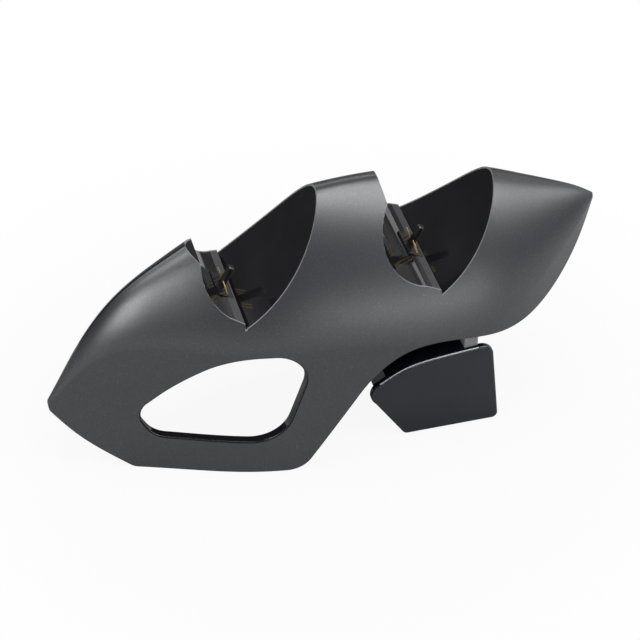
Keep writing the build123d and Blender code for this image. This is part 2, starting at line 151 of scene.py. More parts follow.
def cubic(knots, values, at, ends=(None, None)):
    """Cubic spline through values at the knots, with free ends or given end slopes."""
    count = len(knots)
    gaps = np.diff(knots)
    steps = np.diff(values) / gaps
    system = np.eye(count)
    right = np.zeros(count)
    for i in range(1, count - 1):
        system[i, i - 1:i + 2] = gaps[i - 1], 2 * (gaps[i - 1] + gaps[i]), gaps[i]
        right[i] = 6 * (steps[i] - steps[i - 1])
    if ends[0] is not None:
        system[0, :2] = 2 * gaps[0], gaps[0]
        right[0] = 6 * (steps[0] - ends[0])
    if ends[1] is not None:
        system[-1, -2:] = gaps[-1], 2 * gaps[-1]
        right[-1] = 6 * (ends[1] - steps[-1])
    bend = np.linalg.solve(system, right)
    span = np.clip(np.searchsorted(knots, at) - 1, 0, count - 2)
    gap = gaps[span]
    left, rest = at - knots[span], knots[span + 1] - at
    cubes = (bend[span] * rest ** 3 + bend[span + 1] * left ** 3) / (6 * gap)
    lines = (values[span] / gap - bend[span] * gap / 6) * rest
    return cubes + lines + (values[span + 1] / gap - bend[span + 1] * gap / 6) * left


def arched_body_tree():
    """Node tree that sweeps the section rule along a guide of points (x, half width, crest)."""
    tree, given = new_tree("arched_body", {
        "Guide": "Geometry", "Columns": "Int", "Rows": "Int", "Floor": "Float", "Arch rise": "Float",
        "Side pull": "Float", "Top pull": "Float", "Tuck": "Float", "Arch share": "Float",
        "Material": "Material",
    })

    def point(y, z):
        return add(tree, "ShaderNodeCombineXYZ", {"Y": y, "Z": z}).outputs[0]

    def between(factor, start, end):
        return add(tree, "ShaderNodeMix", {0: factor, 4: start, 5: end}, data_type="VECTOR").outputs[1]

    def bezier(factor, points):
        while len(points) > 1:
            points = [between(factor, a, b) for a, b in zip(points, points[1:])]
        return points[0]

    def parts(vector):
        return add(tree, "ShaderNodeSeparateXYZ", {0: vector}).outputs

    spot = add(tree, "GeometryNodeInputPosition").outputs[0]
    grid = add(tree, "GeometryNodeMeshGrid", {"Vertices X": given["Columns"], "Vertices Y": given["Rows"]})
    place = parts(spot)
    last_column = calc(tree, "SUBTRACT", given["Columns"], 1.0)
    column = calc(tree, "MULTIPLY", calc(tree, "ADD", place["X"], 0.5), last_column)
    guide = add(tree, "GeometryNodeSampleIndex", data_type="FLOAT_VECTOR")
    tree.links.new(given["Guide"], guide.inputs["Geometry"])
    tree.links.new(spot, guide.inputs["Value"])
    tree.links.new(calc(tree, "ROUND", column), guide.inputs["Index"])
    station = parts(guide.outputs[0])
    half_width, crest = station["Y"], station["Z"]

    rise = calc(tree, "MULTIPLY", half_width, given["Arch rise"])
    shoulder = calc(tree, "SUBTRACT", crest, rise)
    side = calc(tree, "ADD", shoulder, calc(tree, "MULTIPLY", rise, given["Side pull"]))
    top = calc(tree, "MULTIPLY", half_width, given["Top pull"])
    sole = calc(tree, "MULTIPLY", half_width, given["Tuck"])
    middle = calc(tree, "MULTIPLY", calc(tree, "ADD", shoulder, given["Floor"]), 0.5)
    down = calc(tree, "MULTIPLY", calc(tree, "ABSOLUTE", place["Y"]), 2.0)
    wall_share = calc(tree, "SUBTRACT", 1.0, given["Arch share"])
    on_arch = calc(tree, "SUBTRACT", 1.0, calc(tree, "DIVIDE", down, given["Arch share"]))
    on_wall = calc(tree, "DIVIDE", calc(tree, "SUBTRACT", 1.0, down), wall_share)
    arch = bezier(on_arch, [point(half_width, shoulder), point(half_width, side), point(top, crest),
                            point(0.0, crest)])
    wall = bezier(on_wall, [point(sole, given["Floor"]), point(half_width, middle),
                            point(half_width, shoulder)])
    choose = add(tree, "GeometryNodeSwitch", input_type="VECTOR")
    tree.links.new(calc(tree, "LESS_THAN", down, given["Arch share"]), choose.inputs["Switch"])
    tree.links.new(wall, choose.inputs["False"])
    tree.links.new(arch, choose.inputs["True"])
    half = parts(choose.outputs[0])
    across = calc(tree, "MULTIPLY", half["Y"], calc(tree, "SIGN", place["Y"]))
    target = add(tree, "ShaderNodeCombineXYZ", {"X": station["X"], "Y": across, "Z": half["Z"]})
    move = add(tree, "GeometryNodeSetPosition", {
        "Geometry": grid.outputs["Mesh"], "Position": target.outputs[0],
    })
    end_tree(tree, move.outputs[0], given["Material"])
    return tree


def settle(piece):
    """Keep what a piece's modifiers make as its plain mesh."""
    evaluated = piece.evaluated_get(bpy.context.evaluated_depsgraph_get())
    piece.data = bpy.data.meshes.new_from_object(evaluated)
    piece.modifiers.clear()


def grow(piece, tree, values):
    """Run a tree on a piece with given inputs, and keep the mesh that it makes."""
    modifier = piece.modifiers.new(tree.name, "NODES")
    modifier.node_group = tree
    for socket in tree.interface.items_tree:
        if socket.name in values:
            modifier[socket.identifier] = values[socket.name]
    settle(piece)


def new_piece(name, vertices, faces):
    """Object with a mesh given in millimetres, its faces turned outwards."""
    mesh = bpy.data.meshes.new(name)
    mesh.from_pydata([Vector(v) * mm for v in vertices], [], faces)
    form = bmesh.new()
    form.from_mesh(mesh)
    bmesh.ops.recalc_face_normals(form, faces=form.faces)
    form.to_mesh(mesh)
    form.free()
    piece = bpy.data.objects.new(name, mesh)
    bpy.context.scene.collection.objects.link(piece)
    return piece


body_tree = arched_body_tree()
hood_plastic = satin_hood_plastic()


def hull(inset, columns=fine_columns, rows=fine_rows):
    """Closed body of the hood's form, set in from its outer face."""
    x, half_width, crest = hood_stations.T
    if inset:
        before = np.maximum(np.arange(len(x)) - 1, 0)
        after = np.minimum(np.arange(len(x)) + 1, len(x) - 1)
        run = x[after] - x[before]
        narrower = half_width - inset * np.hypot(1, (half_width[after] - half_width[before]) / run)
        lower = crest - inset * np.hypot(1, (crest[after] - crest[before]) / run)
        wide = narrower > thinnest_half_width
        x, half_width, crest = x[wide], narrower[wide], lower[wide]
    along = np.linspace(x[0], x[-1], columns)
    guide = np.stack([along, cubic(x, half_width, along), cubic(x, crest, along)], 1)
    body = new_piece("hull", guide, [])
    grow(body, body_tree, {
        "Columns": columns, "Rows": rows, "Floor": (hood_floor - inset) * mm, "Arch rise": arch_rise,
        "Side pull": arch_side_pull, "Top pull": arch_top_pull, "Tuck": hood_tuck,
        "Arch share": arch_share, "Material": hood_plastic,
    })
    spot = np.arange(columns * rows).reshape(columns, rows)
    below = np.stack([spot[:-1, 0], spot[1:, 0], spot[1:, -1], spot[:-1, -1]], -1).tolist()
    form = bmesh.new()
    form.from_mesh(body.data)
    form.verts.ensure_lookup_table()
    for loop in below + [spot[0].tolist(), spot[-1].tolist()]:
        form.faces.new([form.verts[i] for i in loop])
    bmesh.ops.recalc_face_normals(form, faces=form.faces)
    form.to_mesh(body.data)
    form.free()
    return body


def prism(outline, near=-reach, far=reach):
    """Closed block of an outline given as (x, z), from y = near to y = far."""
    count = len(outline)
    vertices = [(x, near, z) for x, z in outline] + [(x, far, z) for x, z in outline]
    sides = [(i, (i + 1) % count, (i + 1) % count + count, i + count) for i in range(count)]
    return new_piece("prism", vertices, sides + [list(range(count)), list(range(count, 2 * count))])


def combine(body, other, operation="DIFFERENCE"):
    """Cut a body with another, join them, or keep what they share."""
    cut = body.modifiers.new("cut", "BOOLEAN")
    cut.operation = operation
    cut.solver = "MANIFOLD"
    cut.object = other
    settle(body)
    bpy.data.objects.remove(other)
    return body


def curve_through(points, start=None, end=None, steps=40):
    """Smooth curve through (x, z) points, with given end directions or free ends."""
    points = np.array(points)
    knots = np.concatenate([[0], np.cumsum(np.hypot(*np.diff(points, axis=0).T))])
    at = np.linspace(0, knots[-1], steps)
    ends = [None if way is None else np.array(way) / np.hypot(*way) for way in (start, end)]
    columns = []
    for axis in (0, 1):
        slopes = [None if way is None else way[axis] for way in ends]
        columns.append(cubic(knots, points[:, axis], at, slopes))
    return np.stack(columns, 1).tolist()


def rounded(corners, radii, closed=True, steps=14):
    """Outline with its corners rounded by arcs."""
    outline = []
    for i, (corner, radius) in enumerate(zip(corners, radii)):
        if not closed and i in (0, len(corners) - 1):
            outline.append(tuple(corner))
            continue
        here = Vector(corner)
        back = (Vector(corners[i - 1]) - here).normalized()
        on = (Vector(corners[(i + 1) % len(corners)]) - here).normalized()
        half = back.angle(on) / 2
        centre = here + (back + on).normalized() * radius / sin(half)
        first = here + back * radius / tan(half) - centre
        turn = first.angle_signed(here + on * radius / tan(half) - centre)
        for step in range(steps + 1):
            spoke = first.copy()
            spoke.rotate(Matrix.Rotation(-turn * step / steps, 2))
            outline.append(tuple(centre + spoke))
    return outline


def rectangle(left, right, low, high):
    """Corners of an upright rectangle."""
    return [(left, low), (right, low), (right, high), (left, high)]


leg_slant = (leg_top[0] - heel[0], leg_top[1] - heel[1])
hood = combine(hull(0), hull(hood_wall, coarse_columns, coarse_rows))
off_nose, off_tail = nose_tip[0] - reach, tail_tip[0] + reach
under_edge = curve_through([nose_tip, nose_mid, toe])[:-toe_points]
leg_corners = [under_edge[-1], toe, heel, leg_top]
under_edge += rounded(leg_corners, [0, toe_radius, heel_radius, 0], closed=False)[1:-1]
under_edge += curve_through([leg_top, *tail_under, tail_tip], leg_slant, tail_rise, steps=80)
under_edge += [(off_tail, tail_tip[1]), (off_tail, -reach), (off_nose, -reach), (off_nose, nose_tip[1])]
combine(hood, prism(under_edge))
nose_cut = rounded(nose_corner, [0, nose_radius, 0], closed=False)
combine(hood, prism(nose_cut + [(off_nose, nose_cut[-1][1]), (off_nose, nose_cut[0][1])]))
rear_corners = [rear_heel, rear_arch, (leg_top[0], rear_arch[1])]
rear_gap = rounded(rear_corners, [0, rear_arch_radius, 0], closed=False)
combine(hood, prism(rear_gap + [(leg_top[0], hood_floor)], near=0))
light_slot = rectangle(light_slot_start, light_slot_end, 0, hood_stations[:, 2].max() + 1)
combine(hood, prism(light_slot, -light_slot_width / 2, light_slot_width / 2))
inlet_corners = rectangle(inlet_x - inlet_width / 2, inlet_x + inlet_width / 2,
                          inlet_z - inlet_height / 2, inlet_z + inlet_height / 2)
combine(hood, prism(rounded(inlet_corners, [inlet_corner] * 4), near=0))

# Pocket liners
# Two gloss black mouldings line each saddle: a seat with a ledge, a bowl and a rim, and a curved
# backrest. Both are let into the hood, which keeps a thin lip outside them. The strip of the ledge
# beside the valley is left satin from the mould, and its paler grey is painted light, for the light
# that the strip catches.
hood_lip = 0.8
ledge_width, ledge_slope, groove_depth = 5.4, 22.0, 2.0
satin_strip = 3.2
liner_wall, seat_gap, rim_depth = 2.2, 0.15, 3.4
recess_reach = 0.6      # how far a recess is cut on into the open pocket
pockets = {
    "left": dict(valley=(-34.5, 72.4), bowl=(-46.4, 82.5), lip=(-47.3, 91.3), rim=(-51.2, 94.6),
                 rest_mid=(-15.4, 88.0), rest_top=(-1.3, 113.5)),
    "right": dict(valley=(39.2, 76.6), bowl=(19.2, 94.0), lip=(22.8, 106.8), rim=(21.2, 114.5),
                  rest_mid=(56.6, 89.0), rest_top=(67.2, 110.0)),
}
plug_lean, plug_set_back = 61.0, 3.8
plug_hole_length, plug_hole_width, plug_hole_depth = 6.5, 14.7, 6.0
touch = 0.1             # how near to a surface a face on it lies


def arc(start, middle, end, steps=48):
    """Points on the arc through three points."""
    (ax, az), (bx, bz), (cx, cz) = start, middle, end
    system = np.array([[bx - ax, bz - az], [cx - bx, cz - bz]])
    right = np.array([bx * bx - ax * ax + bz * bz - az * az, cx * cx - bx * bx + cz * cz - bz * bz]) / 2
    centre = np.linalg.solve(system, right)
    angles = np.unwrap([np.arctan2(z - centre[1], x - centre[0]) for x, z in (start, middle, end)])
    radius = np.hypot(ax - centre[0], az - centre[1])
    return [(centre[0] + radius * np.cos(a), centre[1] + radius * np.sin(a))
            for a in np.linspace(angles[0], angles[2], steps + 1)]


def beside(line, distance):
    """Points of a line moved sideways, to its left where the distance is above zero."""
    line = np.array(line)
    way = np.gradient(line, axis=0)
    left = np.stack([-way[:, 1], way[:, 0]], 1) / np.hypot(*way.T)[:, None]
    return (line + distance * left).tolist()


def ledge_height(pocket, x):
    """Height of a pocket's ledge at x."""
    valley_x, valley_z = pocket["valley"]
    return valley_z + (valley_x - x) * tan(radians(ledge_slope))


def plug_spot(pocket, along, up):
    """Point (x, z) in a pocket, from steps along its ledge and up along its guide post."""
    x = pocket["valley"][0] - plug_set_back
    lean = radians(plug_lean)
    z = ledge_height(pocket, x)
    return (x + along * sin(lean) + up * cos(lean), z - along * cos(lean) + up * sin(lean))


def dark_plastic(name, colour, roughness):
    """Dark plastic with the faint ripple and haze of a moulded face."""
    material, tree, shader, place = node_material(name)
    haze = noise(tree, place, size=9.0, detail=4.0)
    darker = tuple(0.8 * c for c in colour)
    tree.links.new(ramp(tree, haze, [(0.3, darker), (0.7, colour)]), shader.inputs["Base Color"])
    smear = ramp(tree, haze, [(0.3, roughness * 0.8), (0.72, roughness * 1.3)])
    tree.links.new(smear, shader.inputs["Roughness"])
    raise_bumps(tree, shader, noise(tree, place, size=5.0), depth=0.006, strength=0.5)
    return material


def dress(piece, *materials):
    """Give a piece its materials."""
    piece.data.materials.clear()
    for material in materials:
        piece.data.materials.append(material)


def finish_faces(piece, angle=32):
    """Smooth faces with the real edges kept sharp."""
    piece.data.shade_smooth()
    piece.data.set_sharp_from_angle(angle=radians(angle))


def stand_for(piece, name, node):
    """Let a finished piece ride on the dock in place of a CAD part."""
    piece.name = piece.data.name = name
    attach(piece, "root")
    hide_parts(node)


def lies_on(piece, line, gap=0.06):
    """Which faces of a piece lie on a line of (x, z) points, seen from the front."""
    centres = np.empty(3 * len(piece.data.polygons))
    piece.data.polygons.foreach_get("center", centres)
    centres = centres.reshape(-1, 3)[:, ::2] / mm
    found = np.zeros(len(centres), bool)
    for start, end in zip(np.array(line[:-1]), np.array(line[1:])):
        run = end - start
        share = np.clip((centres - start) @ run / (run @ run), 0, 1)
        found |= np.hypot(*(centres - start - share[:, None] * run).T) < gap
    return found


pocket_lines = []
liner_gloss = dark_plastic("liner_gloss", (0.007, 0.007, 0.008), 0.09)
ledge_satin_painted_light = dark_plastic("ledge_satin_painted_light", (0.030, 0.030, 0.032), 0.38)
for name, pocket in pockets.items():
    valley_x, valley_z = pocket["valley"]
    lip, rim, top = pocket["lip"], pocket["rim"], pocket["rest_top"]
    rim_foot = (rim[0], rim[1] - rim_depth)
    strip_x, crease_x = valley_x - satin_strip, valley_x - ledge_width
    strip_end = (strip_x, ledge_height(pocket, strip_x))
    crease = (crease_x, ledge_height(pocket, crease_x))
    bottom = (valley_x, valley_z - groove_depth)
    seat_line = [(valley_x - seat_gap, valley_z), strip_end] + arc(crease, pocket["bowl"], lip)
    rest_line = arc(bottom, pocket["rest_mid"], top)
    above = rim[1] + reach
    combine(hood, prism([bottom] + seat_line + [rim, (rim[0], above), (top[0], above)] + rest_line[:0:-1]))
    pocket_lines += [seat_line + [rim], rest_line]
    seat_under = [rim_foot] + beside(seat_line, liner_wall)[::-1]
    rest_under = beside(rest_line, -liner_wall)[::-1]
    seat_recess = prism(beside(seat_line + [rim], -recess_reach) + seat_under)
    rest_recess = prism(beside(rest_line, recess_reach) + rest_under)
    combine(hood, combine(seat_recess, hull(hood_lip), "INTERSECT"))
    combine(hood, combine(rest_recess, hull(hood_lip), "INTERSECT"))
    seat = combine(prism(seat_line + [rim] + seat_under), hull(hood_lip), "INTERSECT")
    rest = combine(prism(rest_line + rest_under), hull(hood_lip), "INTERSECT")
    half_length = plug_hole_length / 2
    plug_corners = rectangle(-half_length, half_length, -plug_hole_depth, liner_wall)
    plug_hole = [plug_spot(pocket, along, up) for along, up in plug_corners]
    combine(seat, prism(plug_hole, -plug_hole_width / 2, plug_hole_width / 2))
    for piece, node in ((seat, name + "_seat"), (rest, name + "_backrest")):
        finish_faces(piece)
        dress(piece, liner_gloss, ledge_satin_painted_light)
        stand_for(piece, node + "_liner", node)
    # The ledge strip's faces take the satin paint, whose paler grey is painted light.
    for face in seat.data.polygons:
        x, y, z = face.center / mm
        face.material_index = int(strip_x < x < valley_x and abs(z - ledge_height(pocket, x)) < touch)

# Charging plugs
# Each seat holds a black moulded plug with a square guide post, and two pairs of contact pins, bent
# from gold-plated spring wire, stand beside it. A node tree sets one wire on the foot of every pin.
pin_offset, pin_pitch, pin_foot, plug_top = 4.3, 1.95, 0.9, 0.3
pin_tilt = 39.5         # of a pin back from its guide post
pin_lean = 90 - plug_lean - pin_tilt
pin_length, pin_root, pin_radius, pin_bow = 4.6, 2.4, 0.27, 0.12
pin_steps, pin_sides = 20, 10
tip_fullness, tip_least = 24.0, 0.25


def contact_pin_tree():
    """Node tree that stands a slightly bowed wire with a rounded tip on every point."""
    tree, given = new_tree("contact_pins", {
        "Feet": "Geometry", "Length": "Float", "Root": "Float", "Radius": "Float", "Bow": "Float",
        "Lean": "Float", "Material": "Material",
    })
    start = add(tree, "ShaderNodeCombineXYZ", {"Z": calc(tree, "MULTIPLY", given["Root"], -1.0)}).outputs[0]
    middle = add(tree, "ShaderNodeCombineXYZ", {"X": given["Bow"]}).outputs[0]
    end = add(tree, "ShaderNodeCombineXYZ", {"Z": given["Length"]}).outputs[0]
    wire = add(tree, "GeometryNodeCurveQuadraticBezier", {
        "Resolution": pin_steps, "Start": start, "Middle": middle, "End": end,
    })
    along = add(tree, "GeometryNodeSplineParameter").outputs["Factor"]
    to_tip = calc(tree, "SUBTRACT", 1.0, calc(tree, "POWER", along, tip_fullness))
    thin = add(tree, "GeometryNodeSetCurveRadius", {"Curve": wire.outputs[0]})
    tree.links.new(calc(tree, "MAXIMUM", calc(tree, "SQRT", to_tip), tip_least), thin.inputs["Radius"])
    ring = add(tree, "GeometryNodeCurvePrimitiveCircle", {"Resolution": pin_sides, "Radius": given["Radius"]})
    solid = add(tree, "GeometryNodeCurveToMesh", {
        "Curve": thin.outputs[0], "Profile Curve": ring.outputs[0], "Fill Caps": True,
    })
    tree.links.new(add(tree, "GeometryNodeInputRadius").outputs[0], solid.inputs["Scale"])
    turn = add(tree, "ShaderNodeCombineXYZ", {"Y": given["Lean"]}).outputs[0]
    pins = add(tree, "GeometryNodeInstanceOnPoints", {
        "Points": given["Feet"], "Instance": solid.outputs[0], "Rotation": turn,
    })
    end_tree(tree, pins.outputs[0], given["Material"])
    return tree


def gold_plate():
    """Thin gold plating over drawn spring wire."""
    material, tree, shader, place = node_material("gold_plate")
    wear = noise(tree, place, size=0.8, detail=3.0)
    tint = ramp(tree, wear, [(0.35, (0.78, 0.54, 0.20)), (0.65, (0.95, 0.72, 0.34))])
    tree.links.new(tint, shader.inputs["Base Color"])
    tree.links.new(ramp(tree, wear, [(0.3, 0.38), (0.7, 0.22)]), shader.inputs["Roughness"])
    shader.inputs["Metallic"].default_value = 0.6
    return material


pin_tree = contact_pin_tree()
pin_gold = gold_plate()
plug_gloss = dark_plastic("plug_gloss", (0.008, 0.008, 0.008), 0.2)
for name, pocket in pockets.items():
    x, z = plug_spot(pocket, pin_foot, plug_top)
    feet = [(x, side * pin_offset + step * pin_pitch / 2, z) for side in (-1, 1) for step in (-1, 1)]
    pins = new_piece(name + "_contact_pins", feet, [])
    grow(pins, pin_tree, {
        "Length": pin_length * mm, "Root": pin_root * mm, "Radius": pin_radius * mm, "Bow": pin_bow * mm,
        "Lean": radians(pin_lean), "Material": pin_gold,
    })
    finish_faces(pins)
    stand_for(pins, name + "_contact_pins", name + "_contacts")
    dress(nodes[name + "_plug"], plug_gloss)

# Eye trim
# A gloss black ring snapped into the eye opening of the leg, with rounded front edges that follow the
# wall's curve and a flange behind the wall that holds it.
eye_corners = [(-76.9, 27.9), (-69.5, 16.1), (-22.1, 15.2), (-8.5, 59.0), (-41.2, 58.6), (-60.7, 44.7)]
eye_radii = [9.5, 8.6, 17.0, 11.8, 40.0, 110.0]
trim_set_back, trim_wall, trim_depth = 0.3, 0.6, 3.4
trim_flange, trim_flange_front = 2.2, 2.4
trim_point_gap = 0.8
trim_section = [             # inwards from the opening's edge, back from the trim's front
    (0.0, 0.3), (0.03, 0.14), (0.12, 0.03), (0.25, 0.0),
    (0.35, 0.0), (0.48, 0.03), (0.57, 0.14), (trim_wall, 0.3), (trim_wall, trim_depth),
    (-trim_flange, trim_depth), (-trim_flange, trim_flange_front), (0.0, trim_flange_front),
]


def evenly(outline, gap):
    """Closed outline with points about a given gap apart."""
    loop = np.array(list(outline) + [outline[0]])
    run = np.concatenate([[0], np.cumsum(np.hypot(*np.diff(loop, axis=0).T))])
    at = np.linspace(0, run[-1], int(run[-1] / gap), endpoint=False)
    return np.stack([np.interp(at, run, loop[:, 0]), np.interp(at, run, loop[:, 1])], 1)


def inside(loop, distance):
    """Closed loop of points moved inwards, for a loop that runs anticlockwise."""
    way = np.roll(loop, -1, 0) - np.roll(loop, 1, 0)
    return loop + distance * np.stack([-way[:, 1], way[:, 0]], 1) / np.hypot(*way.T)[:, None]


def closed_rings(name, rings, ends):
    """Piece of rings of points joined in turn, with its two ends filled or joined to each other."""
    count = len(rings[0])
    vertices = [tuple(v) for ring in rings for v in ring]
    faces = []
    for i in range(len(rings) if ends == "joined" else len(rings) - 1):
        a, b = i * count, (i + 1) % len(rings) * count
        faces += [(a + j, a + (j + 1) % count, b + (j + 1) % count, b + j) for j in range(count)]
    if ends == "filled":
        faces += [list(range(count)), list(range(len(vertices) - count, len(vertices)))]
    return new_piece(name, vertices, faces)


eye_outline = rounded(eye_corners, eye_radii, steps=30)
combine(hood, prism(eye_outline, far=0))
trim_face = hull(trim_set_back)
trim_mesh = trim_face.data
trim_points = [vertex.co for vertex in trim_mesh.vertices]
trim_front = BVHTree.FromPolygons(trim_points, [face.vertices for face in trim_mesh.polygons])
bpy.data.objects.remove(trim_face)
eye_loop = evenly(eye_outline, trim_point_gap)
trim_rings = []
for inwards, back in trim_section:
    ring = []
    for x, z in inside(eye_loop, inwards):
        front = trim_front.ray_cast(Vector((x * mm, -reach * mm, z * mm)), Vector((0, 1, 0)))[0]
        ring.append((x, front.y / mm + back, z))
    trim_rings.append(ring)
eye_trim = closed_rings("eye_trim_ring", trim_rings, "joined")
finish_faces(eye_trim, angle=40)
dress(eye_trim, dark_plastic("trim_gloss", (0.007, 0.007, 0.008), 0.12))
stand_for(eye_trim, "eye_trim_ring", "eye_trim")

# The eye was the last cut, so the hood is finished here. Its lip faces along the pocket edges are
# painted pale grey, a painted highlight for the light that those edges catch.
finish_faces(hood)
dress(hood, hood_plastic, dark_plastic("painted_highlight_edge", (0.16, 0.16, 0.165), 0.3))
edge_highlight_faces = np.zeros(len(hood.data.polygons), bool)
for line in pocket_lines:
    edge_highlight_faces |= lies_on(hood, line)
hood.data.polygons.foreach_set("material_index", edge_highlight_faces.astype(np.int32))
stand_for(hood, "hood_moulding", "shell")

# Light guide
# A strip of smoked clear plastic is pressed into the slot along the nose crest, and a flexible board
# with the lamps is bonded below it.
dress(nodes["light_strip"], dark_plastic("smoked_strip", (0.006, 0.006, 0.007), 0.12))

# Boards, parts and leads
# Green printed boards carry the charging parts and the plugs. They sit inside the hood with their
# stamped socket and plastic-covered leads. Only the socket and its board's edge show, in the inlet.
track_gap = 1.6


def solder_mask():
    """Green lacquer over copper tracks."""
    material, tree, shader, place = node_material("solder_mask")
    tracks = add(tree, "ShaderNodeTexBrick", {
        "Vector": place, "Scale": 1 / (track_gap * mm), "Mortar Size": 0.08, "Brick Width": 2.6,
        "Row Height": 0.5, "Color1": (0.016, 0.100, 0.040, 1), "Color2": (0.020, 0.120, 0.050, 1),
        "Mortar": (0.05, 0.22, 0.09, 1),
    })
    tree.links.new(tracks.outputs["Color"], shader.inputs["Base Color"])
    smear = ramp(tree, noise(tree, place, size=4.0), [(0.3, 0.3), (0.7, 0.45)])
    tree.links.new(smear, shader.inputs["Roughness"])
    raise_bumps(tree, shader, tracks.outputs["Fac"], depth=0.03, strength=0.6)
    return material


def drawn_steel(name, colour, roughness):
    """Plated steel with the fine lines of the tool on it."""
    material, tree, shader, place = node_material(name)
    stretch = add(tree, "ShaderNodeMapping", {"Vector": place, "Scale": (1.0, 1.0, 12.0)}).outputs[0]
    lines = noise(tree, stretch, size=1.2, detail=4.0)
    darker = tuple(0.75 * c for c in colour)
    tree.links.new(ramp(tree, lines, [(0.3, darker), (0.7, colour)]), shader.inputs["Base Color"])
    smear = ramp(tree, lines, [(0.3, roughness * 1.3), (0.7, roughness * 0.8)])
    tree.links.new(smear, shader.inputs["Roughness"])
    shader.inputs["Metallic"].default_value = 1.0
    raise_bumps(tree, shader, lines, depth=0.01, strength=0.5)
    return material


board_mask = solder_mask()
for node in ("main_board", "light_board", "left_contact_board", "right_contact_board"):
    dress(nodes[node], board_mask)
dress(nodes["charge_parts"], dark_plastic("moulded_parts", (0.02, 0.02, 0.021), 0.5))
dress(nodes["power_socket"], drawn_steel("stamped_steel", (0.58, 0.58, 0.57), 0.32))
lead_cover = dark_plastic("lead_cover", (0.30, 0.018, 0.016), 0.45)
for node in ("left_leads", "right_leads"):
    dress(nodes[node], lead_cover)

# Bottom cover
# A matt black moulded plate, bent to the hood's underside, closes it and carries the main board. Its
# face has the even grain of a spark-eroded mould.


def grained_plastic(name, darkest, palest, roughness, gloss=0.5):
    """Matt plastic with an even grain and a slightly uneven colour."""
    material, tree, shader, place = node_material(name)
    grain = noise(tree, place, size=0.5)
    tint = ramp(tree, noise(tree, place, size=7.0, detail=3.0), [(0.3, darkest), (0.7, palest)])
    tree.links.new(tint, shader.inputs["Base Color"])
    smear = ramp(tree, grain, [(0.3, roughness * 0.9), (0.7, roughness * 1.1)])
    tree.links.new(smear, shader.inputs["Roughness"])
    shader.inputs["Specular IOR Level"].default_value = gloss
    raise_bumps(tree, shader, grain, depth=0.03, strength=0.6)
    return material


cover_matt = grained_plastic("cover_matt", (0.009, 0.009, 0.010), (0.013, 0.013, 0.014), 0.55)
dress(nodes["bottom_cover"], cover_matt)

# Neck
# A block between the cover and the foot, moulded matt black, with a pale grey pillar at its right end.
# It is screwed to both.
neck_left, neck_right, neck_front = 13.4, 52.4, -13.0
pillar_right, pillar_front = 57.8, -19.4
neck_under = [(neck_left, 27.0), (18.5, 28.8), (28.3, 34.4), (40.0, 37.0), (pillar_right, 38.8)]
neck_over = [(neck_left, 56.9), (14.0, 57.0), (54.0, 56.6), (pillar_right, 56.1)]
neck_points = 24


def neck_block(left, right, front):
    """Block of the neck between two heights that follow the foot and the cover."""
    low, high = np.array(neck_under).T, np.array(neck_over).T
    under = [(x, np.interp(x, *low)) for x in np.linspace(left, right, neck_points)]
    over = [(x, np.interp(x, *high)) for x in np.linspace(right, left, neck_points)]
    return prism(under + over, front, -front)


pillar = neck_block(neck_right, pillar_right, pillar_front)
neck = combine(neck_block(neck_left, neck_right, neck_front), pillar, "UNION")
finish_faces(neck)
neck_black = grained_plastic("neck_black", (0.0035, 0.0035, 0.004), (0.005, 0.005, 0.0055), 0.6, gloss=0.08)
pillar_grey = grained_plastic("pillar_grey", (0.17, 0.17, 0.175), (0.21, 0.21, 0.215), 0.45)
dress(neck, neck_black, pillar_grey)
for face in neck.data.polygons:
    face.material_index = int(face.center.x > (neck_right - touch) * mm)
stand_for(neck, "neck_block", "neck")

# Foot
# A gloss blue-black moulding with rounded edges all round. Its front panel runs out past the core on
# both sides, and wells for the screws and beds for the pads are sunk into its sole.
foot_front, foot_edge, foot_edge_steps, foot_point_gap = -21.0, 1.2, 8, 0.5
highlight_least_up, highlight_front = 0.5, (-0.80, -0.52)     # which way the faces of its edge look that carry a painted highlight
foot_sole, foot_corner = 0.6, 2.4
foot_chin, foot_heel, foot_toe = (16.9, 18.8), (29.0, foot_sole), (67.8, foot_sole)
foot_right, foot_shoulder, foot_top = (64.3, 33.7), (62.6, 37.7), (58.0, 39.2)
foot_crown, foot_brow, foot_left = [(40.0, 37.4), (28.3, 34.8)], (18.5, 29.2), (14.9, 24.0)
foot_panel_back = -18.8
foot_core_left, foot_core_right = 21.0, 57.8
pad_length, pad_width, pad_wall, pad_corner, pad_offset = 24.0, 7.0, 1.6, 2.0, 12.0
pad_x = (foot_heel[0] + foot_core_right) / 2
foot_screw_places, foot_screw_seat, foot_well_radius, foot_well_sides = [34.0, 46.0], 22.2, 3.05, 32

sole_corners = [foot_chin, foot_heel, foot_toe, foot_right]
foot_outline = rounded(sole_corners, [0, foot_corner, foot_corner, 0], closed=False)
foot_outline += arc(foot_right, foot_shoulder, foot_top, steps=16)[1:]
foot_outline += curve_through([foot_top, *foot_crown, foot_brow])[1:]
foot_outline += arc(foot_brow, foot_left, foot_chin, steps=16)[1:-1]
foot_loop = evenly(foot_outline, foot_point_gap)
front_rings = []
for step in range(foot_edge_steps + 1):
    turn = step / foot_edge_steps * pi / 2
    y = foot_front + foot_edge * (1 - cos(turn))
    front_rings.append([(x, y, z) for x, z in inside(foot_loop, foot_edge * (1 - sin(turn)))])
back_rings = [[(x, -y, z) for x, y, z in ring] for ring in front_rings[::-1]]
foot = closed_rings("foot_moulding", front_rings + back_rings, "filled")
combine(foot, prism(rectangle(foot_core_left - reach, foot_core_left, -reach, reach), foot_panel_back))
combine(foot, prism(rectangle(foot_core_right, foot_core_right + reach, -reach, reach), foot_panel_back))
for side in (-1, 1):
    bed = rectangle(pad_x - pad_length / 2, pad_x + pad_length / 2, -pad_wall, pad_wall)
    combine(foot, prism(bed, side * pad_offset - pad_width / 2, side * pad_offset + pad_width / 2))
well_turns = np.linspace(0, 2 * pi, foot_well_sides, endpoint=False)
